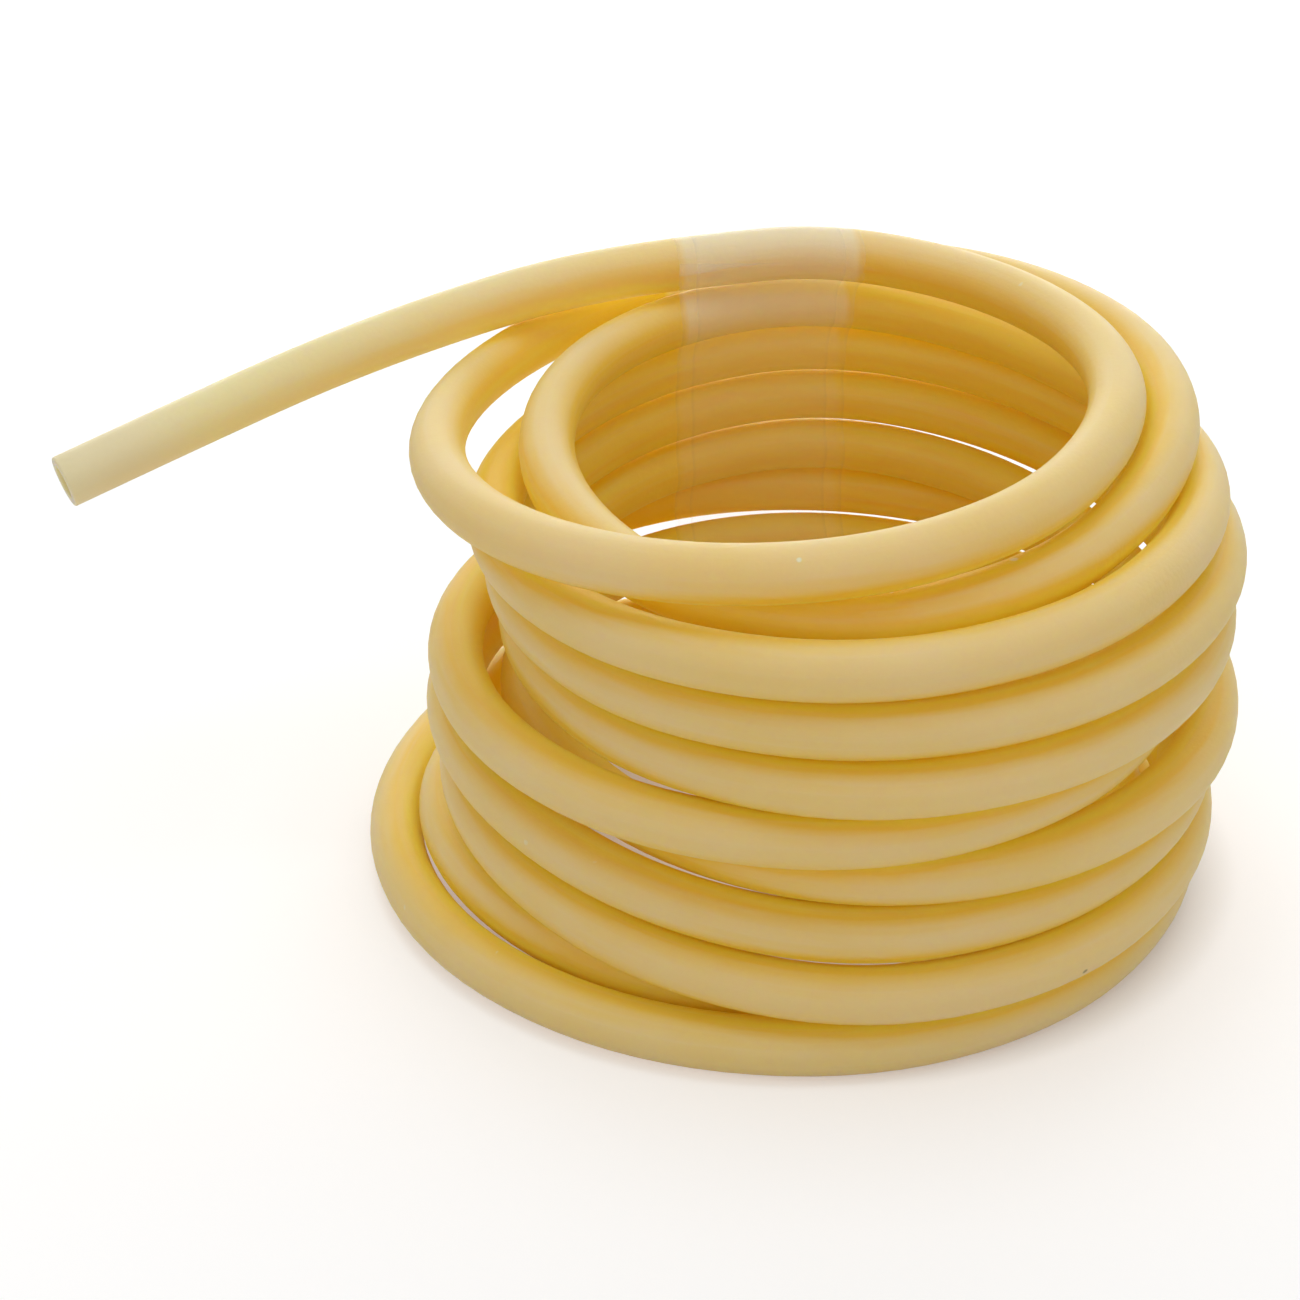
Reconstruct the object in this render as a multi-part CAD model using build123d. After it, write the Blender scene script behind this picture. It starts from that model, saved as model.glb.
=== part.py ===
"""Rubber tubing coil: one length of amber latex tube, wound as a standing coil and held by clear tape.

Millimetres, +Z up. The coil's axis is the Z axis and its lowest turn lies on the floor, z = 0. The free
end leaves the top turn at the back (+Y) and reaches out to the left (-X). The other end lies on the floor
behind the coil.
"""
import math
import os

from build123d import *

# The tube, by its bore and its wall.
BORE_DIAMETER = 5.0
WALL = 1.5
TUBE_DIAMETER = BORE_DIAMETER + 2 * WALL

# The coil. A hand-wound coil isn't a true helix: each turn swings in and out and up and down as it lies on
# the one below. Each row is a turn, from the top one down, at six stations clockwise from the back: back,
# back right, front right, front, front left, back left. A station is how far the tube's centre lies out from
# the coil's radius, and how high it is above the floor, both in tube diameters.
COIL_RADIUS = 52.0
STATIONS_PER_TURN = 6
POINTS_PER_TURN = 12
TURN_SHARES = [
    [(-1.25, 9.97), (-1.70, 9.65), (-1.65, 9.38), (-0.50, 8.84), (0.40, 8.34), (0.80, 8.22)],
    [(0.50, 9.15), (-0.27, 9.10), (-0.98, 8.43), (-0.60, 7.75), (-1.42, 7.81), (-1.05, 8.50)],
    [(-0.75, 8.85), (-0.28, 7.91), (-0.08, 7.82), (0.55, 7.49), (-0.10, 7.27), (-0.60, 7.40)],
    [(-0.30, 7.78), (0.10, 6.93), (0.30, 6.69), (0.60, 6.47), (-0.45, 6.19), (-0.70, 6.35)],
    [(-0.30, 6.73), (0.00, 5.90), (0.25, 5.55), (0.75, 5.46), (-0.70, 5.16), (-0.85, 5.32)],
    [(-0.40, 5.69), (-0.75, 5.05), (-0.40, 4.72), (0.55, 4.41), (0.50, 4.38), (0.30, 4.58)],
    [(-0.35, 4.65), (0.10, 4.20), (0.45, 3.70), (0.10, 3.43), (-0.74, 3.68), (-0.90, 3.80)],
    [(-0.70, 3.68), (-0.20, 3.15), (0.10, 2.74), (0.32, 2.40), (0.50, 3.26), (0.40, 3.45)],
    [(-0.45, 2.64), (-0.25, 2.12), (0.25, 1.72), (0.80, 1.49), (0.45, 2.13), (0.10, 2.25)],
    [(-0.30, 1.60), (-0.90, 1.20), (-1.05, 1.12), (-0.32, 0.60), (0.60, 1.10), (0.72, 0.85)],
    [(-0.10, 0.56), (0.08, 0.51), (-0.15, 0.50), (0.75, 0.50), (1.50, 0.50), (1.85, 0.50)],
]

# The stretches beyond the turns, from the tip of the free end in to the coil and from the coil out to the
# other end: X and Y in coil radii, Z in tube diameters.
FREE_END_SHARES = [
    (-2.19, 0.25, 6.80),
    (-1.83, 0.44, 7.52),
    (-1.41, 0.58, 8.48),
    (-0.96, 0.68, 9.33),
    (-0.68, 0.75, 9.63),
    (-0.36, 0.79, 9.85),
]
FLOOR_END_SHARES = [(-0.855, 1.11, 0.50)]

# Each corner of the route is an arc that takes this share of the shorter run beside it.
ARC_SHARE = 0.45

# The tape, a strip wound once round all the turns at the back and pressed down on them. A flat strip bends
# one way only, so it is straight across its width. Its outline is that of the turns as seen along the width,
# and dips between them in bends of TAPE_BEND. The turns are looked up on planes across the tape and a little
# past its edges, where they lean in under it.
TAPE_WIDTH = 25.0
TAPE_THICKNESS = 0.2
TAPE_GAP = 0.15
TAPE_BEND = 14.0
TAPE_ANGLE = 103.0
TAPE_PLANES = 7


def between_stations(values, place):
    """The smooth (Catmull-Rom) value at a place counted in stations."""
    index = min(int(place), len(values) - 2)
    share = place - index
    start, end = values[index], values[index + 1]
    before = values[index - 1] if index > 0 else 2 * start - end
    after = values[index + 2] if index + 2 < len(values) else 2 * end - start
    slope_in = (end - before) / 2
    slope_out = (after - start) / 2
    rise = end - start
    curve = (slope_in + slope_out - 2 * rise) * share + 3 * rise - 2 * slope_in - slope_out
    return start + share * (slope_in + share * curve)


def coil_points():
    """The route's corners round the turns, from the top turn's back down to the floor."""
    stations = [station for turn in TURN_SHARES for station in turn]
    radii = [COIL_RADIUS + out * TUBE_DIAMETER for out, up in stations]
    heights = [up * TUBE_DIAMETER for out, up in stations]
    corner = math.cos(math.pi / POINTS_PER_TURN)
    count = (len(stations) - 1) * POINTS_PER_TURN // STATIONS_PER_TURN
    points = []
    for step in range(count + 1):
        place = step * STATIONS_PER_TURN / POINTS_PER_TURN
        angle = math.pi / 2 - step * 2 * math.pi / POINTS_PER_TURN
        radius = between_stations(radii, place) / corner
        height = between_stations(heights, place)
        points.append(Vector(radius * math.cos(angle), radius * math.sin(angle), height))
    return points


def end_points(shares):
    """The corners of a stretch beyond the turns."""
    return [Vector(x * COIL_RADIUS, y * COIL_RADIUS, z * TUBE_DIAMETER) for x, y, z in shares]


def arc_radii(points):
    """The radius of the tangent arc at each corner of the route."""
    radii = []
    for before, corner, after in zip(points, points[1:], points[2:]):
        run_in = corner - before
        run_out = after - corner
        half_turn = math.radians(run_in.get_angle(run_out)) / 2
        radii.append(ARC_SHARE * min(run_in.length, run_out.length) / math.tan(half_turn))
    return radii


def tube_route():
    """Straight runs joined by arcs, from the tip of the free end to the end on the floor."""
    points = end_points(FREE_END_SHARES) + coil_points() + end_points(FLOOR_END_SHARES)
    radii = arc_radii(points)
    print(f"arc radii {min(radii):.1f} to {max(radii):.1f} mm at {len(radii)} corners")
    return FilletPolyline(*points, radius=radii).wire()


def rubber_tube(route):
    """The tube: a ring of rubber swept along the route, open at both cut ends."""
    start = Plane(route @ 0, z_dir=route % 0)
    ring = start * (Circle(TUBE_DIAMETER / 2) - Circle(BORE_DIAMETER / 2))
    tube = sweep(ring, path=route)
    straight_volume = ring.area * route.length
    print(f"route {route.length:.0f} mm")
    print(f"volume {tube.volume:.0f} mm3, section x length {straight_volume:.0f} mm3")
    return tube


def tape_plane(offset):
    """A plane across the coil, at an offset along the tape's width: X is out from the axis, Y is up."""
    outward = Vector(1, 0, 0).rotate(Axis.Z, TAPE_ANGLE)
    along = outward.cross(Vector(0, 0, 1))
    return Plane(along * offset, x_dir=outward, z_dir=along)


def turn_centres(route, plane):
    """Where the route crosses a plane on the tape's side of the coil, in the plane's own X and Y."""
    reach = 2 * COIL_RADIUS
    height = 2 * len(TURN_SHARES) * TUBE_DIAMETER
    sheet = plane * Rectangle(reach, height, align=(Align.MIN, Align.CENTER))
    crossings = [vertex for edge in route.edges() for vertex in edge.intersect(sheet) or []]
    return [plane.to_local_coords(Vector(vertex)) for vertex in crossings]


def tape_band(route):
    """The tape: a thin closed band round the outline of the turns under it."""
    span = TAPE_WIDTH + TUBE_DIAMETER / 2
    centres = []
    for step in range(TAPE_PLANES):
        centres += turn_centres(route, tape_plane(span * (step / (TAPE_PLANES - 1) - 1 / 2)))
    print(f"turns under the tape: {len(centres) / TAPE_PLANES}")
    rolled = Sketch() + [
        Pos(centre.X, centre.Y) * Circle(TUBE_DIAMETER / 2 + TAPE_GAP + TAPE_BEND) for centre in centres
    ]
    bundle = offset(make_face(rolled.face().outer_wire()), amount=-TAPE_BEND)
    outline = offset(bundle, amount=TAPE_THICKNESS) - bundle
    return extrude(tape_plane(0) * outline, amount=TAPE_WIDTH / 2, both=True)


def main():
    os.makedirs("parts", exist_ok=True)
    route = tube_route()
    tube = rubber_tube(route)
    pieces = {"rubber_tube": tube, "tape_band": tape_band(route)}
    for name, piece in pieces.items():
        box = piece.bounding_box()
        print(name, "size", [round(length, 1) for length in box.size], "lowest", round(box.min.Z, 2))
        export_step(piece, f"parts/{name}.step")


main()
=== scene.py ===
# %% [markdown]
# # A coil of rubber tubing
#
# The object is one length of amber latex tube, as used in a laboratory, wound by hand into a standing coil.
# A strip of clear tape holds the turns together at the back.
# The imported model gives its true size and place, so the lesson starts by loading that model.
# Everything made here is in metres and sits in the same place as the solids it stands for.

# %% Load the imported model
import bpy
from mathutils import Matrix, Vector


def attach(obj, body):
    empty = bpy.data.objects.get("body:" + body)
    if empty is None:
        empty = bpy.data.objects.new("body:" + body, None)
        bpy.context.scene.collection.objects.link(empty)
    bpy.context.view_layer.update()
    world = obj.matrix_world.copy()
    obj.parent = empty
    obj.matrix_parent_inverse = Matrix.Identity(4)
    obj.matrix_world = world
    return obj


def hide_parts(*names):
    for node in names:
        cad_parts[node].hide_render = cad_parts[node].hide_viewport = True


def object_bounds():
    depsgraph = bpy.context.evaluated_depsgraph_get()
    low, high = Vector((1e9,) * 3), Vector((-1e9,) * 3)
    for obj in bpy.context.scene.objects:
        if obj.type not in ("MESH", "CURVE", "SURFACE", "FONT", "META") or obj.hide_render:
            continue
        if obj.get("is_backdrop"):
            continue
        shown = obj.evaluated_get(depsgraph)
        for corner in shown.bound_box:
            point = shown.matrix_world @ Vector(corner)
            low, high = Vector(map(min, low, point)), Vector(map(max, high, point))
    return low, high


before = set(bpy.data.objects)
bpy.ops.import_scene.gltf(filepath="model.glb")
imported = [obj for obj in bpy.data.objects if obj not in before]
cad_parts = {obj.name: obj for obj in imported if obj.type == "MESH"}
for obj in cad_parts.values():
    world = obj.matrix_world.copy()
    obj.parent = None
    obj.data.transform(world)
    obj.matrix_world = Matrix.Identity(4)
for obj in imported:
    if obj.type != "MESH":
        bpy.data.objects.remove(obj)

cad_box = [list(corner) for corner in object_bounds()]
print("solids:", sorted(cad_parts))
print("box of the solids, mm:", [[round(1000 * v, 1) for v in corner] for corner in cad_box])

# %% [markdown]
# ## The camera
#
# A photograph can be taken apart into a place, a direction and a lens.
# Here the ellipses of the turns give the height: the camera looks down at the coil by 28 degrees.
# The free end, which comes towards us as it goes left, gives the distance.
# Blender's camera looks along its own -Z, so a rotation of 90 - 28 degrees about X tips it to face +Y.
# The lens is written as a focal length on a 36 mm sensor, the usual way for a photographer.

# %% Place the camera
import math

import bpy

PHOTO_SIDE = 1300
FOCAL_PIXELS = 2808
SENSOR = 36.0
LOOK_DOWN = math.radians(28)
CAMERA_PLACE = (-0.02704, -0.3656, 0.2276)
NEAREST_SEEN = 0.01

lens = bpy.data.cameras.new("studio_camera")
lens.sensor_width = SENSOR
lens.lens = SENSOR * FOCAL_PIXELS / PHOTO_SIDE
lens.clip_start = NEAREST_SEEN
camera = bpy.data.objects.new("studio_camera", lens)
camera.location = CAMERA_PLACE
camera.rotation_euler = (math.pi / 2 - LOOK_DOWN, 0, 0)
bpy.context.scene.collection.objects.link(camera)
bpy.context.scene.camera = camera
print(f"lens {lens.lens:.1f} mm")

# %% [markdown]
# ## The line that the tube follows
#
# A hand-wound coil isn't a true helix. Each turn swings in and out and up and down on the one below.
# A screw modifier or a helix formula would give eleven equal turns: a spring, and not a coil of tubing.
# So each turn has six stations, clockwise from the back. A station says how far out the tube lies from the
# coil's radius and how high, both in tube widths.

# %% The turns, station by station
TUBE_WIDTH = 0.008
COIL_RADIUS = 0.052
STATIONS_PER_TURN = 6
TURN_SHARES = [
    [(-1.25, 9.97), (-1.70, 9.65), (-1.65, 9.38), (-0.50, 8.84), (0.40, 8.34), (0.80, 8.22)],
    [(0.50, 9.15), (-0.27, 9.10), (-0.98, 8.43), (-0.60, 7.75), (-1.42, 7.81), (-1.05, 8.50)],
    [(-0.75, 8.85), (-0.28, 7.91), (-0.08, 7.82), (0.55, 7.49), (-0.10, 7.27), (-0.60, 7.40)],
    [(-0.30, 7.78), (0.10, 6.93), (0.30, 6.69), (0.60, 6.47), (-0.45, 6.19), (-0.70, 6.35)],
    [(-0.30, 6.73), (0.00, 5.90), (0.25, 5.55), (0.75, 5.46), (-0.70, 5.16), (-0.85, 5.32)],
    [(-0.40, 5.69), (-0.75, 5.05), (-0.40, 4.72), (0.55, 4.41), (0.50, 4.38), (0.30, 4.58)],
    [(-0.35, 4.65), (0.10, 4.20), (0.45, 3.70), (0.10, 3.43), (-0.74, 3.68), (-0.90, 3.80)],
    [(-0.70, 3.68), (-0.20, 3.15), (0.10, 2.74), (0.32, 2.40), (0.50, 3.26), (0.40, 3.45)],
    [(-0.45, 2.64), (-0.25, 2.12), (0.25, 1.72), (0.80, 1.49), (0.45, 2.13), (0.10, 2.25)],
    [(-0.30, 1.60), (-0.90, 1.20), (-1.05, 1.12), (-0.32, 0.60), (0.60, 1.10), (0.72, 0.85)],
    [(-0.10, 0.56), (0.08, 0.51), (-0.15, 0.50), (0.75, 0.50), (1.50, 0.50), (1.85, 0.50)],
]
print(len(TURN_SHARES), "turns of", STATIONS_PER_TURN, "stations")

# %% [markdown]
# Straight lines between the stations would show as kinks. A smooth (Catmull-Rom) curve passes through each
# station in the direction from the one before to the one after, and a loop puts down twelve points a turn.
# The line made from these points will lie a little inside them, so each is set that much further out.

# %% Points round the turns
POINTS_PER_TURN = 12


def between_stations(values, place):
    """The smooth value at a place counted in stations."""
    index = min(int(place), len(values) - 2)
    share = place - index
    start, end = values[index], values[index + 1]
    before = values[index - 1] if index > 0 else 2 * start - end
    after = values[index + 2] if index + 2 < len(values) else 2 * end - start
    slope_in = (end - before) / 2
    slope_out = (after - start) / 2
    rise = end - start
    curve = (slope_in + slope_out - 2 * rise) * share + 3 * rise - 2 * slope_in - slope_out
    return start + share * (slope_in + share * curve)


def turn_points():
    """The points round the turns, from the back of the top one down to the floor."""
    stations = [station for turn in TURN_SHARES for station in turn]
    radii = [COIL_RADIUS + out * TUBE_WIDTH for out, up in stations]
    heights = [up * TUBE_WIDTH for out, up in stations]
    corner = math.cos(math.pi / POINTS_PER_TURN)
    points = []
    for step in range((len(stations) - 1) * POINTS_PER_TURN // STATIONS_PER_TURN + 1):
        place = step * STATIONS_PER_TURN / POINTS_PER_TURN
        angle = math.pi / 2 - step * 2 * math.pi / POINTS_PER_TURN
        radius = between_stations(radii, place) / corner
        height = between_stations(heights, place)
        points.append((radius * math.cos(angle), radius * math.sin(angle), height))
    return points


print(len(TURN_SHARES), "turns,", len(turn_points()), "points")

# %% [markdown]
# ## The two ends
#
# The free end leaves the top turn at the back and reaches out to the left, over the turn below it.
# The other end lies on the floor behind the coil, where the photograph doesn't show it.
# Both are listed: X and Y in coil radii, Z in tube widths.

# %% From tip to tip
FREE_END_SHARES = [
    (-2.19, 0.25, 6.80),
    (-1.83, 0.44, 7.52),
    (-1.41, 0.58, 8.48),
    (-0.96, 0.68, 9.33),
    (-0.68, 0.75, 9.63),
    (-0.36, 0.79, 9.85),
]
FLOOR_END_SHARES = [(-0.855, 1.11, 0.50)]


def end_points(shares):
    """The points of a stretch beyond the turns."""
    return [(x * COIL_RADIUS, y * COIL_RADIUS, z * TUBE_WIDTH) for x, y, z in shares]


route = end_points(FREE_END_SHARES) + turn_points() + end_points(FLOOR_END_SHARES)
print(len(route), "points from tip to tip")

# %% [markdown]
# All points now become the control points of one NURBS curve.
# A NURBS curve doesn't pass through its points but leans towards them, as soft tubing does in a bend.
# It has no thickness yet: it is only the line that the tube's centre follows.
# Blender works the curve out when it makes a mesh of it, so the places along the line are read from there.

# %% One smooth line
STEPS_PER_POINT = 8


def smooth_line(points):
    """The points along a NURBS curve that has these control points."""
    line = bpy.data.curves.new("tube_line", "CURVE")
    line.dimensions = "3D"
    spline = line.splines.new("NURBS")
    spline.points.add(len(points) - 1)
    for control, point in zip(spline.points, points):
        control.co = (*point, 1)
    spline.order_u = 3
    spline.use_endpoint_u = True
    spline.resolution_u = STEPS_PER_POINT
    holder = bpy.data.objects.new("tube_line", line)
    bpy.context.scene.collection.objects.link(holder)
    bpy.context.view_layer.update()
    mesh = bpy.data.meshes.new_from_object(holder)
    places = [vertex.co.copy() for vertex in mesh.vertices]
    bpy.data.objects.remove(holder)
    bpy.data.meshes.remove(mesh)
    return places


centres = smooth_line(route)
tube_length = sum((b - a).length for a, b in zip(centres, centres[1:]))
print(f"{len(route)} control points, {len(centres)} places, {tube_length:.3f} m of tube")

# %% [markdown]
# ## The rubber tube
#
# A curve's own bevel could give a round solid cord, but this tube has two cut ends that show its wall.
# So the mesh is made ring by ring along the line.
# A ring needs a direction and two sides. Each pair of sides is carried on from the last one by the smallest
# turn, so the tube isn't twisted like a rope.

# %% A frame for each ring
from mathutils import Vector


def ring_frames(places):
    """Centre, direction and two side directions of a ring at each place, without twist."""
    found = []
    side = None
    for index, place in enumerate(places):
        ahead = places[min(index + 1, len(places) - 1)]
        behind = places[max(index - 1, 0)]
        direction = (ahead - behind).normalized()
        start = Vector((0, 0, 1)) if side is None else side
        side = (start - direction * start.dot(direction)).normalized()
        found.append((place, direction, side, direction.cross(side)))
    return found


frames = ring_frames(centres)
print(len(frames), "frames along the tube")

# %% [markdown]
# At the cuts the edges are rounded by a few tenths of a millimetre, which gives them a thin line of light.
# So there are three rings close together at each cut. Each has a share of the depth and of the rounding.

# %% Every ring from cut to cut
CUT_EDGE = 0.0003
CUT_EDGE_SHARES = [(0.0, 1.0), (0.3, 0.3), (1.0, 0.0)]


def tube_rings(places, frames):
    """Frame, length along the tube and edge rounding of every ring, with close rings at both cuts."""
    along = [0.0]
    for a, b in zip(places, places[1:]):
        along.append(along[-1] + (b - a).length)
    rings = []
    for depth, trim in CUT_EDGE_SHARES:
        place, direction, side, other = frames[0]
        ahead = depth * CUT_EDGE
        rings.append(((place + direction * ahead, direction, side, other), ahead, trim))
    rings += [(ring, length, 0.0) for ring, length in zip(frames[1:-1], along[1:-1])]
    for depth, trim in reversed(CUT_EDGE_SHARES):
        place, direction, side, other = frames[-1]
        back = depth * CUT_EDGE
        rings.append(((place - direction * back, direction, side, other), along[-1] - back, trim))
    return rings


rings = tube_rings(centres, frames)
print(len(rings), "rings")

# %% [markdown]
# A bore goes in by 12 mm from each cut, about as far as an eye can look. Further on it would only swallow the
# light that wanders in the rubber, and on the real tube that light comes out again on the other side.
# Latex tube is never quite even, so its walls swell and thin by about half a percent along the way.
# Each point also keeps its place on the tube laid out straight: the finish uses it for lengthwise marks.

# %% The skin and the two bores
from mathutils import noise

SIDES = 32
BORE_WIDTH = 0.005
BORE_DEPTH = 0.012
UNEVEN_SHARE = 0.006
UNEVEN_PITCH = 0.03


def wall_points(rings, width, edge_sign):
    """Points of one wall of the tube, bent along the line and laid out straight."""
    bent = []
    straight = []
    for (place, direction, side, other), length, trim in rings:
        swell = 1 + UNEVEN_SHARE * noise.noise(Vector((length / UNEVEN_PITCH, width, 0)))
        radius = width / 2 * swell - edge_sign * trim * CUT_EDGE
        for step in range(SIDES):
            angle = 2 * math.pi * step / SIDES
            across = radius * math.cos(angle)
            up = radius * math.sin(angle)
            bent.append(place + side * across + other * up)
            straight.append((length, across, up))
    return bent, straight


near_rings = [ring for ring in rings if ring[1] < BORE_DEPTH]
far_rings = [ring for ring in rings if ring[1] > tube_length - BORE_DEPTH]
skin, skin_straight = wall_points(rings, TUBE_WIDTH, 1)
near_bore, near_straight = wall_points(near_rings, BORE_WIDTH, -1)
far_bore, far_straight = wall_points(far_rings, BORE_WIDTH, -1)
print(f"{len(rings)} rings of {SIDES} points, {len(near_rings)} and {len(far_rings)} of them with a bore")

# %% [markdown]
# Four-sided faces join each ring to the next one. In a bore they are turned round, to look into the hole, and
# one flat face closes its inner end. At the cuts, faces from the skin to the bore show the wall.
# These stay flat and get the second finish, and all others are shaded smooth.

# %% Join the rings and close the cuts
def wall_faces(rows, first, inward):
    """The four-sided faces of a wall of so many rings."""
    faces = []
    for row in range(rows - 1):
        for step in range(SIDES):
            a = first + row * SIDES + step
            b = first + row * SIDES + (step + 1) % SIDES
            face = (a, b, b + SIDES, a + SIDES)
            faces.append(face[::-1] if inward else face)
    return faces


near_first = len(skin)
far_first = near_first + len(near_bore)
far_last = far_first + len(far_bore) - SIDES
faces = wall_faces(len(rings), 0, False)
faces += wall_faces(len(near_rings), near_first, True)
faces += wall_faces(len(far_rings), far_first, True)
faces.append([far_first - SIDES + step for step in range(SIDES)][::-1])
faces.append([far_first + step for step in range(SIDES)])
wall_count = len(faces)
skin_last = near_first - SIDES
for step in range(SIDES):
    after = (step + 1) % SIDES
    faces.append((after, step, near_first + step, near_first + after))
    faces.append((skin_last + step, skin_last + after, far_last + after, far_last + step))
print(wall_count, "faces on the walls,", len(faces) - wall_count, "at the cuts")

# %% [markdown]
# The lists become a mesh, and the mesh an object. The places on the straight tube go along as an attribute,
# which a finish can read like a texture.

# %% Make the tube
tube_mesh = bpy.data.meshes.new("rubber_tube_coil")
tube_mesh.from_pydata(skin + near_bore + far_bore, [], faces)
laid = tube_mesh.attributes.new("laid_straight", "FLOAT_VECTOR", "POINT")
straight = skin_straight + near_straight + far_straight
laid.data.foreach_set("vector", [v for point in straight for v in point])
for index, face in enumerate(tube_mesh.polygons):
    face.use_smooth = index < wall_count
    face.material_index = 0 if index < wall_count else 1
tube = bpy.data.objects.new("rubber_tube_coil", tube_mesh)
bpy.context.scene.collection.objects.link(tube)
print(f"tube: {len(tube_mesh.vertices)} points, {len(faces)} faces")

# %% [markdown]
# ## Where air reaches the rubber
#
# Painted light and shade on the rubber follow how open each point is: open skin gets a warmer amber and a
# pale painted highlight, partly dust, and the closed-in gaps keep a lighter gold.
# A shader can't tell which points lie in a gap without looking round, and doing that at each render is slow.
# So it is done once, here. Each point of the skin sends out some rays and keeps the share that is free.
# A ray ends after 12 cm, which is more than the coil's width, so the inside of the coil counts as closed in.

# %% Measure the open air
from mathutils.bvhtree import BVHTree

AIR_REACH = 0.12
AIR_RAYS = 32
SKIN_LIFT = 0.0002
GOLDEN_ANGLE = math.pi * (3 - math.sqrt(5))
INWARD_LIMIT = 0.98

rubber = BVHTree.FromPolygons(skin + near_bore + far_bore, faces)


def all_round(count):
    """Directions that are spread evenly all round."""
    found = []
    for step in range(count):
        height = 1 - (2 * step + 1) / count
        flat = math.sqrt(1 - height * height)
        angle = step * GOLDEN_ANGLE
        found.append(Vector((flat * math.cos(angle), flat * math.sin(angle), height)))
    return found


def free_share(place, normal, spread):
    """The share of directions from a point of the skin that meet no rubber."""
    start = place + normal * SKIN_LIFT
    free = 0
    for lean in spread:
        ray = (normal + lean * INWARD_LIMIT).normalized()
        if rubber.ray_cast(start, ray, AIR_REACH)[0] is None:
            free += 1
    return free / len(spread)


spread = all_round(AIR_RAYS)
air = []
for index, place in enumerate(skin):
    middle_of_ring = rings[index // SIDES][0][0]
    air.append(free_share(place, (place - middle_of_ring).normalized(), spread))
air += [0.0] * (len(near_bore) + len(far_bore))
open_air = tube_mesh.attributes.new("open_air", "FLOAT", "POINT")
open_air.data.foreach_set("value", air)
print(f"open air: {min(air):.2f} to {max(air):.2f}, {sum(air) / len(air):.2f} on average")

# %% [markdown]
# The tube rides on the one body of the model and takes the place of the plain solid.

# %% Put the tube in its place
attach(tube, "root")
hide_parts("rubber_tube")
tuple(route[-1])
print("the tube ends on the floor at", [round(1000 * v, 1) for v in route[-1]], "mm")

# %% [markdown]
# ## Natural latex
#
# Raw latex rubber is amber and lets light in. Light goes a few millimetres into it, loses its blue and comes
# out warmer, so the hollows between turns glow like honey.
# A plain diffuse colour would make the hollows grey-brown. Subsurface scattering gives the glow, with red
# travelling furthest and blue least. Near the cuts it is turned down, as light would be lost in the bore.
# All finishes are built from a few nodes that come again and again, so these get short helpers first.

# %% Helpers that add nodes
def new_finish(name):
    """A material, its node tree and its shader."""
    finish = bpy.data.materials.new(name)
    finish.use_nodes = True
    tree = finish.node_tree
    return finish, tree, tree.nodes["Principled BSDF"]


def add_node(tree, kind, inputs=(), **settings):
    """Add a node, set its options, and fill or link its inputs."""
    node = tree.nodes.new(kind)
    for key, value in settings.items():
        setattr(node, key, value)
    for key, value in dict(inputs).items():
        if isinstance(value, bpy.types.NodeSocket):
            tree.links.new(value, node.inputs[key])
        else:
            node.inputs[key].default_value = value
    return node


print("helpers for nodes ready")

# %% [markdown]
# A finish is mostly noise that is stretched, cut to a range and used to mix colours.
# Each of these steps is one node, so each helper adds that node and hands on its output.

# %% Helpers for values and colours
def stretched(tree, source, scale):
    """Texture space that is stretched by a scale on each axis."""
    return add_node(tree, "ShaderNodeMapping", {"Vector": source, "Scale": scale}).outputs["Vector"]


def noise_value(tree, space, scale, detail):
    """A soft noise from 0 to 1."""
    node = add_node(tree, "ShaderNodeTexNoise", {"Vector": space, "Scale": scale, "Detail": detail})
    return node.outputs["Fac"]


def remap(tree, value, low, high, to_low, to_high):
    """Stretch part of a value's range to another range, and stop at its ends."""
    numbers = {"Value": value, "From Min": low, "From Max": high, "To Min": to_low, "To Max": to_high}
    return add_node(tree, "ShaderNodeMapRange", numbers).outputs["Result"]


def times(tree, first, second):
    """The product of two values."""
    return add_node(tree, "ShaderNodeMath", {0: first, 1: second}, operation="MULTIPLY").outputs[0]


def blend_colours(tree, factor, first, second):
    """Mix two colours by a factor."""
    node = add_node(tree, "ShaderNodeMix", data_type="RGBA")
    for place, value in ((0, factor), (6, first), (7, second)):
        if isinstance(value, bpy.types.NodeSocket):
            tree.links.new(value, node.inputs[place])
        else:
            node.inputs[place].default_value = value
    return node.outputs[2]


print("helpers for values and colours ready")

# %% [markdown]
# The colour is laid in thin coats, the way a painter glazes.
# In the gaps, slow clouds mix two golds. Painted light and shade follow how open the skin is: open skin is a
# warmer amber, and the closed-in gaps keep the lighter gold. Fine pale lines along the tube come from its
# making, and a pale painted highlight, a little patchy and partly dust, lies where the skin is most open.

# %% The colour of the rubber
GOLD = (0.96, 0.74, 0.06, 1)
STRAW = (0.97, 0.76, 0.09, 1)
# The third colour is painted light for open skin; the fourth is a painted highlight that is partly dust.
OPEN_LIT_AMBER = (0.96, 0.62, 0.06, 1)
DUST_AND_HIGHLIGHT = (0.96, 0.74, 0.50, 1)

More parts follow.
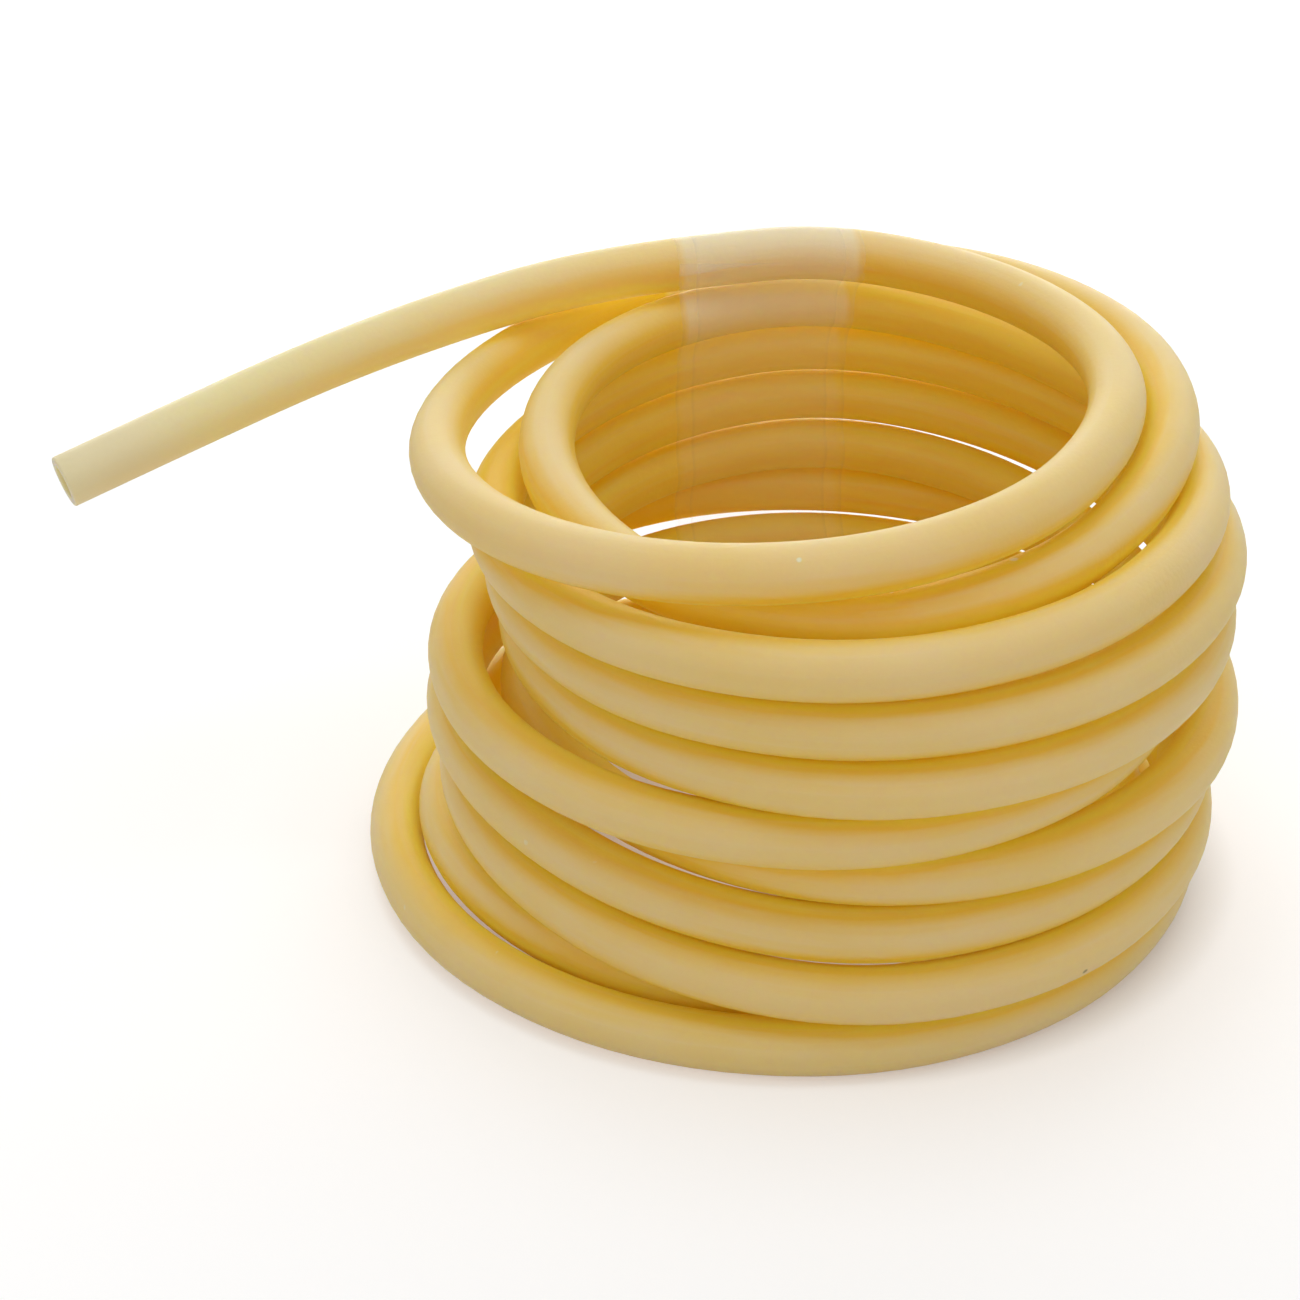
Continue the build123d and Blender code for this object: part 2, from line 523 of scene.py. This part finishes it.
latex, tree, shader = new_finish("amber_latex")
space = add_node(tree, "ShaderNodeTexCoord").outputs["Object"]
laid_straight = add_node(tree, "ShaderNodeAttribute", attribute_name="laid_straight").outputs["Vector"]
clouds = remap(tree, noise_value(tree, space, 45, 3), 0.35, 0.65, 0, 1)
body = blend_colours(tree, clouds, GOLD, STRAW)
lines = noise_value(tree, stretched(tree, laid_straight, (12, 900, 900)), 1, 3)
air_share = add_node(tree, "ShaderNodeAttribute", attribute_name="open_air").outputs["Fac"]
# Painted light and shade: open skin is tinted amber, closed-in gaps keep the lighter gold.
lit_share = remap(tree, air_share, 0.32, 0.60, 0, 1)
light_tinted = blend_colours(tree, lit_share, body, OPEN_LIT_AMBER)
powder = remap(tree, lines, 0.5, 0.8, 0, 0.15)
streaked = blend_colours(tree, powder, light_tinted, DUST_AND_HIGHLIGHT)
# Painted highlight, partly dust, on the most open skin, a little patchy.
painted_highlight = remap(tree, air_share, 0.64, 1.0, 0, 0.52)
patches = remap(tree, clouds, 0, 1, 0.85, 1.15)
painted_highlight = times(tree, painted_highlight, patches)
dust_and_highlight = blend_colours(tree, painted_highlight, streaked, DUST_AND_HIGHLIGHT)
print("rubber colour:", len(tree.nodes), "nodes")

# %% [markdown]
# Under the clear tape the rubber is painted paler, most of all on the top turns: painted light, which makes
# up for the shade that the two laps of film cast. The tape is a straight strip, so its place is easy to write
# down.
# A point is painted if it lies within half the tape's width of the middle line, on the tape's side of the
# coil.
# Its height says how pale it is.

# %% Painted light under the tape
TAPE_ANGLE = math.radians(103)
TAPE_WIDTH = 0.025
# A pale colour painted on the rubber under the tape: painted light.
TAPE_PAINTED_LIGHT = (0.97, 0.86, 0.70, 1)
TAPE_LIGHT_EDGE = 0.001
PAINTED_TOP_FROM = 0.062
PAINTED_TOP_FULL = 0.071

tape_across = Vector((math.sin(TAPE_ANGLE), -math.cos(TAPE_ANGLE), 0))
tape_outward = Vector((math.cos(TAPE_ANGLE), math.sin(TAPE_ANGLE), 0))


def distance_along(tree, space, direction):
    """How far a point lies along a direction."""
    node = add_node(tree, "ShaderNodeVectorMath", {0: space, 1: direction}, operation="DOT_PRODUCT")
    return node.outputs["Value"]


sideways = distance_along(tree, space, tape_across)
sideways = add_node(tree, "ShaderNodeMath", {0: sideways}, operation="ABSOLUTE").outputs[0]
# Painted light under the tape, paler on the top turns.
under_tape_light = remap(tree, sideways, TAPE_WIDTH / 2, TAPE_WIDTH / 2 + TAPE_LIGHT_EDGE, 1, 0)
out = distance_along(tree, space, tape_outward)
at_back = add_node(tree, "ShaderNodeMath", {0: out, 1: 0.0}, operation="GREATER_THAN").outputs[0]
height = add_node(tree, "ShaderNodeSeparateXYZ", {"Vector": space}).outputs["Z"]
pale = remap(tree, height, PAINTED_TOP_FROM, PAINTED_TOP_FULL, 0.08, 0.5)
under_tape_light = times(tree, times(tree, under_tape_light, at_back), pale)
tape_lit_skin = blend_colours(tree, under_tape_light, dust_and_highlight, TAPE_PAINTED_LIGHT)
print(f"painted_tape_light on a strip {1000 * TAPE_WIDTH:.0f} mm wide")

# %% [markdown]
# The free end is painted paler than the rest, less and less up to 12 cm from its cut: a painted highlight,
# for the strong light on it. Use has left its marks too.
# There are fine crumbs here and there, and three specks: a dark grain on a lower turn and two pale flecks on
# the upper ones. A speck is a place on the tube laid out straight, a radius and a colour.

# %% Painted light on the free end, and marks of use
# A pale colour for a painted highlight on the free end.
FREE_END_LIGHT = (0.98, 0.88, 0.56, 1)
FREE_END_LIGHT_FULL = 0.002
FREE_END_LIGHT_ENDS = 0.12
GRIT = (0.30, 0.24, 0.10, 1)
FLECK = (0.96, 0.90, 0.74, 1)
SPECKS = [
    ((2.7903, 0.0015, -0.0037), 0.0005, GRIT),
    ((0.5576, 0.0037, 0.0015), 0.0007, FLECK),
    ((0.2587, 0.0033, -0.0022), 0.0004, FLECK),
]

along = add_node(tree, "ShaderNodeSeparateXYZ", {"Vector": laid_straight}).outputs["X"]
# Painted highlight: paler towards the free end's cut.
free_end_light = remap(tree, along, FREE_END_LIGHT_FULL, FREE_END_LIGHT_ENDS, 0.8, 0)
skin_colour = blend_colours(tree, free_end_light, tape_lit_skin, FREE_END_LIGHT)
crumbs = remap(tree, noise_value(tree, space, 420, 1), 0.80, 0.84, 0, 0.4)
skin_colour = blend_colours(tree, crumbs, skin_colour, FLECK)
for place, radius, tint in SPECKS:
    away = add_node(tree, "ShaderNodeVectorMath", {0: laid_straight, 1: place}, operation="DISTANCE")
    spot = remap(tree, away.outputs["Value"], 0.5 * radius, radius, 0.85, 0)
    skin_colour = blend_colours(tree, spot, skin_colour, tint)
tree.links.new(skin_colour, shader.inputs["Base Color"])
print("specks:", len(SPECKS))

# %% [markdown]
# Latex is smooth but not polished. Its roughness drifts a little, and a very fine grain breaks up the shine.
# The lines from its making are a faint relief too.
# The glow needs the distance to the nearer cut, because it is turned down there.

# %% Shine and glow
GRAIN_DEPTH = 0.0004
LINE_DEPTH = 0.0005
LIGHT_PATH = 0.006
LIGHT_PATH_SHARES = (1.0, 0.8, 0.15)

shine = remap(tree, noise_value(tree, space, 180, 4), 0.3, 0.7, 0.50, 0.62)
tree.links.new(shine, shader.inputs["Roughness"])
grain = noise_value(tree, space, 1400, 4)
fine = add_node(tree, "ShaderNodeBump", {"Height": grain, "Strength": 0.12, "Distance": GRAIN_DEPTH})
relief = {"Height": lines, "Strength": 0.10, "Distance": LINE_DEPTH, "Normal": fine.outputs["Normal"]}
drawn = add_node(tree, "ShaderNodeBump", relief)
tree.links.new(drawn.outputs["Normal"], shader.inputs["Normal"])
from_far = add_node(tree, "ShaderNodeMath", {0: tube_length, 1: along}, operation="SUBTRACT").outputs[0]
from_cut = add_node(tree, "ShaderNodeMath", {0: along, 1: from_far}, operation="MINIMUM").outputs[0]
glow = remap(tree, from_cut, BORE_DEPTH, 2 * BORE_DEPTH, 0.1, 1.0)
tree.links.new(glow, shader.inputs["Subsurface Weight"])
shader.inputs["Subsurface Radius"].default_value = LIGHT_PATH_SHARES
shader.inputs["Subsurface Scale"].default_value = LIGHT_PATH
shader.inputs["IOR"].default_value = 1.5
shader.inputs["Specular IOR Level"].default_value = 0.5
tube_mesh.materials.append(latex)
print("amber latex:", len(tree.nodes), "nodes")

# %% [markdown]
# The two cut faces are fresh: paler than the skin and quite dull, with faint marks from the blade.
# They get a finish of their own.

# %% The cut faces
CUT_PALE = (0.93, 0.84, 0.68, 1)
CUT_WARM = (0.90, 0.76, 0.52, 1)
BLADE_DEPTH = 0.0003
CUT_LIGHT_PATH = 0.003
CUT_LIGHT_PATH_SHARES = (1.0, 0.5, 0.16)

cut, tree, shader = new_finish("cut_latex")
space = add_node(tree, "ShaderNodeTexCoord").outputs["Object"]
blade = noise_value(tree, stretched(tree, space, (300, 300, 2500)), 1, 3)
tree.links.new(blend_colours(tree, blade, CUT_PALE, CUT_WARM), shader.inputs["Base Color"])
bump = add_node(tree, "ShaderNodeBump", {"Height": blade, "Strength": 0.3, "Distance": BLADE_DEPTH})
tree.links.new(bump.outputs["Normal"], shader.inputs["Normal"])
shader.inputs["Roughness"].default_value = 0.7
shader.inputs["Subsurface Weight"].default_value = 0.5
shader.inputs["Subsurface Radius"].default_value = CUT_LIGHT_PATH_SHARES
shader.inputs["Subsurface Scale"].default_value = CUT_LIGHT_PATH
tube_mesh.materials.append(cut)
print("cut latex:", len(tree.nodes), "nodes")

# %% [markdown]
# ## The clear tape
#
# A strip of clear tape runs twice round all the turns at the back. The second lap lies a little to one side.
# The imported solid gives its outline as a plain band. Real tape is pressed down with a thumb, so it dips
# between the turns as far as a flat strip can bend.
# First its outline is needed, as a closed line of even steps. These helpers find such lines on a mesh.

# %% Lines round a group of faces
def edge_loops(faces):
    """The closed lines of points round a group of faces."""
    group = set(faces)
    edges = [edge for face in faces for edge in face.edges]
    rim = [edge for edge in edges if len(group.intersection(edge.link_faces)) == 1]
    ahead = {}
    for edge in rim:
        for point, other in (edge.verts, reversed(edge.verts)):
            ahead.setdefault(point, []).append(other)
    loops = []
    while ahead:
        loop = [next(iter(ahead))]
        while ahead.get(loop[-1]):
            steps = [point for point in ahead.pop(loop[-1]) if point in ahead]
            loop += steps[:1]
            if not steps:
                break
        loops.append([point.co.copy() for point in loop])
    return loops


def loop_length(loop):
    """The length round a closed line of points."""
    return sum((b - a).length for a, b in zip(loop, loop[1:] + loop[:1]))


def even_steps(loop, count):
    """So many places at equal steps round a closed line of points."""
    step = loop_length(loop) / count
    places = []
    done = 0.0
    for a, b in zip(loop, loop[1:] + loop[:1]):
        run = (b - a).length
        while len(places) < count and len(places) * step < done + run:
            places.append(a.lerp(b, (len(places) * step - done) / run))
        done += run
    return places


print("helpers for outlines ready")

# %% [markdown]
# The band is straight across its width, so its outline is the outer edge of the flat faces at one side.
# The faces of a loaded solid may have points of their own, so points at the same place are joined first.

# %% The outline of the band
import bmesh

OUTLINE_STEPS = 230
SAME_PLACE = 1e-6
NEARLY_ALONG = 0.99

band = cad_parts["tape_band"]
solid = bmesh.new()
solid.from_mesh(band.data)
solid.transform(band.matrix_world)
bmesh.ops.remove_doubles(solid, verts=solid.verts, dist=SAME_PLACE)
side_faces = [face for face in solid.faces if face.normal.dot(tape_across) > NEARLY_ALONG]
outer = max(edge_loops(side_faces), key=loop_length)
solid.free()
outline = [place - tape_across * place.dot(tape_across) for place in even_steps(outer, OUTLINE_STEPS)]
print(f"outline {1000 * loop_length(outline):.1f} mm round")

# %% [markdown]
# The film has to be pressed in from the outline, so each place needs the direction that leads away from it.
# Going round the outline gives a direction square to it. The sum over all places tells if that is out or in.

# %% Which way is out
middle = sum(outline, Vector()) / OUTLINE_STEPS


def crosswise(index):
    """The direction square to the outline at one of its places."""
    run = outline[(index + 1) % OUTLINE_STEPS] - outline[index - 1]
    return run.cross(tape_across).normalized()


facing = sum(crosswise(index).dot(outline[index] - middle) for index in range(OUTLINE_STEPS))
outward = [crosswise(index) * math.copysign(1, facing) for index in range(OUTLINE_STEPS)]
print(len(outward), "directions out of the outline")

# %% [markdown]
# A shrinkwrap modifier would press the film into every gap like a wet cloth.
# So the film is laid by a small sum instead. From each point of the outline a ray looks for the rubber. Then
# a ball is rolled over what the rays found, in numbers only. The film can dip no further than the ball can.

# %% Press the film down
BALL_RADIUS = 0.006
BALL_STEPS = 8
DEEPEST = 0.007

step_length = loop_length(outline) / OUTLINE_STEPS
ball_moves = range(-BALL_STEPS, BALL_STEPS + 1)
ball = [(move, (move * step_length) ** 2 / (2 * BALL_RADIUS)) for move in ball_moves]


def around(values, index):
    """The values that the ball covers at a place, each with the ball's height there."""
    return [(values[(index + move) % OUTLINE_STEPS], rise) for move, rise in ball]


def pressed_depths(shift):
    """How far the film sinks below the outline, all round, at one place of its width."""
    found = []
    for place, away in zip(outline, outward):
        hit, normal, face, distance = rubber.ray_cast(place + tape_across * shift, -away, DEEPEST)
        found.append(DEEPEST if hit is None else distance)
    steps = range(OUTLINE_STEPS)
    ball_depths = [min(depth + rise for depth, rise in around(found, index)) for index in steps]
    return [max(depth - rise for depth, rise in around(ball_depths, index)) for index in steps]


print(f"the film's middle dips by up to {1000 * max(pressed_depths(0)):.1f} mm")

# %% [markdown]
# The film is a grid: columns across the tape, and the steps of the outline round it.
# Both laps are laid in the same way. Each has a shift sideways and a height over the rubber, and the second
# one lies on the first.

# %% Lay the two laps
COLUMNS = 15
LAPS = [(-0.00135, 0.0001), (0.00135, 0.00018)]

film_points = []
film_flat = []
film_faces = []
for lap, (sideways, lift) in enumerate(LAPS):
    first = len(film_points)
    for column in range(COLUMNS):
        share = column / (COLUMNS - 1) - 1 / 2
        shift = share * TAPE_WIDTH + sideways
        for index, depth in enumerate(pressed_depths(shift)):
            sunk = max(depth - lift, 0)
            film_points.append(outline[index] + tape_across * shift - outward[index] * sunk)
            film_flat.append((index * step_length, 2 * share, lap))
    for column in range(COLUMNS - 1):
        for index in range(OUTLINE_STEPS):
            a = first + column * OUTLINE_STEPS + index
            b = first + column * OUTLINE_STEPS + (index + 1) % OUTLINE_STEPS
            film_faces.append((a, b, b + OUTLINE_STEPS, a + OUTLINE_STEPS))
print(len(LAPS), "laps,", len(film_points), "points")

# %% [markdown]
# Both laps are one piece of film, so they become one mesh. Its points keep their place on the film laid flat.
# It rides on the same body as the tube and takes the place of the plain band.

# %% Make the strip
strip_mesh = bpy.data.meshes.new("clear_tape_strip")
strip_mesh.from_pydata(film_points, [], film_faces)
flat_place = strip_mesh.attributes.new("laid_flat", "FLOAT_VECTOR", "POINT")
flat_place.data.foreach_set("vector", [v for point in film_flat for v in point])
for face in strip_mesh.polygons:
    face.use_smooth = True
strip = bpy.data.objects.new("clear_tape_strip", strip_mesh)
bpy.context.scene.collection.objects.link(strip)
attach(strip, "root")
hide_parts("tape_band")
print(f"tape: {len(film_faces)} faces")

# %% [markdown]
# The film hardly has a colour of its own. It lays a thin white veil over the rubber. The veil is thicker on
# the
# top turns and thin on the walls: a painted highlight, for the light from above that the film reflects there.
# Its edges show as fine lines.
# Glass would bend the light too much for a film this thin, so it is a pale coat that is mostly see-through.
# A coat that soaks up light would look like a shadow on the rubber, so its colour is nearly white.

# %% The tape's film
FILM_WHITE = (0.97, 0.95, 0.90, 1)
WRINKLE_DEPTH = 0.0008

film, tree, shader = new_finish("clear_tape_film")
flat = add_node(tree, "ShaderNodeAttribute", attribute_name="laid_flat").outputs["Vector"]
patches = noise_value(tree, stretched(tree, flat, (90, 2, 5)), 1, 3)
cloudy = remap(tree, patches, 0.3, 0.7, 0.8, 1.2)
space = add_node(tree, "ShaderNodeTexCoord").outputs["Object"]
height = add_node(tree, "ShaderNodeSeparateXYZ", {"Vector": space}).outputs["Z"]
# Painted highlight: the veil is thicker on the top turns than on the walls.
clear = remap(tree, height, PAINTED_TOP_FROM, PAINTED_TOP_FULL, 0.03, 0.07)
veil = times(tree, clear, cloudy)
wrinkles = noise_value(tree, stretched(tree, flat, (260, 1.2, 7)), 1, 1)
across = add_node(tree, "ShaderNodeSeparateXYZ", {"Vector": flat}).outputs["Y"]
from_centre = add_node(tree, "ShaderNodeMath", {0: across}, operation="ABSOLUTE").outputs[0]
edges = remap(tree, from_centre, 0.95, 0.98, 0.0, 0.04)
veil = add_node(tree, "ShaderNodeMath", {0: veil, 1: edges}, operation="ADD").outputs[0]
tree.links.new(veil, shader.inputs["Alpha"])
bump = add_node(tree, "ShaderNodeBump", {"Height": wrinkles, "Strength": 0.12, "Distance": WRINKLE_DEPTH})
tree.links.new(bump.outputs["Normal"], shader.inputs["Normal"])
shader.inputs["Base Color"].default_value = FILM_WHITE
shader.inputs["Roughness"].default_value = 0.22
strip_mesh.materials.append(film)
print("tape film:", len(tree.nodes), "nodes")

# %% [markdown]
# ## The floor and the light
#
# The coil stands on a plain pale table under soft light from all round, as in a light tent.
# A white table could be had with more light, but then the rubber would burn out. So the table is light grey.
# A Light Path node lifts it to white, but only for rays from the camera, from a shine or through something
# clear. The table and the sky both need such a node.

# %% Rays that the eye follows
def seen_rays(tree):
    """1 for rays from the camera, from a shine or through something clear, and 0 for all others."""
    rays = add_node(tree, "ShaderNodeLightPath").outputs
    looks = {0: rays["Is Camera Ray"], 1: rays["Is Glossy Ray"]}
    seen = add_node(tree, "ShaderNodeMath", looks, operation="MAXIMUM").outputs[0]
    looks = {0: seen, 1: rays["Is Transmission Ray"]}
    return add_node(tree, "ShaderNodeMath", looks, operation="MAXIMUM").outputs[0]


print("helper for seen rays ready")

# %% [markdown]
# The lift is added to the light that falls on the table, so the coil's shadow stays.
# Inside the coil there is hardly any lift, or each gap between turns would shine like a lamp.
# Far out there is a little more, because less light falls there.

# %% A table that is white to the eye
TABLE_SIDE = 6.0
TABLE_GREY = (0.80, 0.80, 0.80, 1)
INNER_LIFT = 0.05
TABLE_LIFT = 0.39
FAR_LIFT = 0.25
UNDER_COIL = 0.050
BEYOND_COIL = 0.062
FAR_FROM = 0.3
FAR_TO = 2.0

table_mesh = bpy.data.meshes.new("table")
half = TABLE_SIDE / 2
corners = [(-half, -half, 0), (half, -half, 0), (half, half, 0), (-half, half, 0)]
table_mesh.from_pydata(corners, [], [(0, 1, 2, 3)])
table = bpy.data.objects.new("table", table_mesh)
bpy.context.scene.collection.objects.link(table)
table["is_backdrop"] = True
paper, tree, shader = new_finish("table_white")
seen = seen_rays(tree)
spot = add_node(tree, "ShaderNodeTexCoord").outputs["Object"]
from_axis = add_node(tree, "ShaderNodeVectorMath", {0: spot}, operation="LENGTH").outputs["Value"]
near = remap(tree, from_axis, UNDER_COIL, BEYOND_COIL, INNER_LIFT, TABLE_LIFT)
far = remap(tree, from_axis, FAR_FROM, FAR_TO, 0, FAR_LIFT)
whole = add_node(tree, "ShaderNodeMath", {0: near, 1: far}, operation="ADD").outputs[0]
tree.links.new(times(tree, seen, whole), shader.inputs["Emission Strength"])
shader.inputs["Emission Color"].default_value = (1, 1, 1, 1)
shader.inputs["Base Color"].default_value = TABLE_GREY
shader.inputs["Roughness"].default_value = 0.9
shader.inputs["Specular IOR Level"].default_value = 0.1
table_mesh.materials.append(paper)
print(f"table {TABLE_SIDE:.0f} m square")

# %% [markdown]
# The sky fills the shadows with a soft light from all sides. A sky this dim would look grey behind the table,
# so it is white to the eye.

# %% A sky that is white to the eye
SKY_LEVEL = 0.42
WHITE_LEVEL = 1.0

sky = bpy.data.worlds.new("studio_sky")
sky.use_nodes = True
tree = sky.node_tree
level = remap(tree, seen_rays(tree), 0, 1, SKY_LEVEL, WHITE_LEVEL)
tree.links.new(level, tree.nodes["Background"].inputs["Strength"])
tree.nodes["Background"].inputs["Color"].default_value = (1, 1, 1, 1)
bpy.context.scene.world = sky
print(f"sky {SKY_LEVEL} as light, {WHITE_LEVEL} to the eye")

# %% [markdown]
# Three soft lamps shape the turns: one above, a weak one low in front, and one behind.
# Light in the coil's eye goes from turn to turn many times before it comes out, so more bounces are allowed
# than usual. Rays that pass the two laps of film in and out need more steps for the same reason.

# %% Soft lamps
AIM = Vector((0, 0, 0.04))
DIFFUSE_BOUNCES = 10
CLEAR_BOUNCES = 40
LAMPS = {
    "top_softbox": ((0.0, 0.1, 1.1), (0.8, 0.8), 3.3),
    "front_softbox": ((0.0, -1.1, 0.45), (1.6, 0.5), 1.4),
    "back_softbox": ((0.0, 1.1, 0.4), (1.4, 0.7), 5.8),
}

for name, (place, sides, watts) in LAMPS.items():
    lamp_data = bpy.data.lights.new(name, "AREA")
    lamp_data.shape = "RECTANGLE"
    lamp_data.size, lamp_data.size_y = sides
    lamp_data.energy = watts
    lamp = bpy.data.objects.new(name, lamp_data)
    lamp.location = place
    lamp.rotation_euler = (AIM - Vector(place)).to_track_quat("-Z", "Y").to_euler()
    bpy.context.scene.collection.objects.link(lamp)
    print(f"{name}: {watts} W")
bpy.context.scene.view_settings.view_transform = "Standard"
bpy.context.scene.cycles.diffuse_bounces = DIFFUSE_BOUNCES
bpy.context.scene.cycles.transparent_max_bounces = CLEAR_BOUNCES

# %% [markdown]
# ## The size, and the end
#
# The dressed object has to keep the size of the solids, so the last line prints how far its box differs from
# theirs.

dressed_box = [list(corner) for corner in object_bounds()]
growth = [[round(1000 * (b - a), 2) for a, b in zip(*pair)] for pair in zip(cad_box, dressed_box)]
print("dressed box less solids' box, mm:", growth)
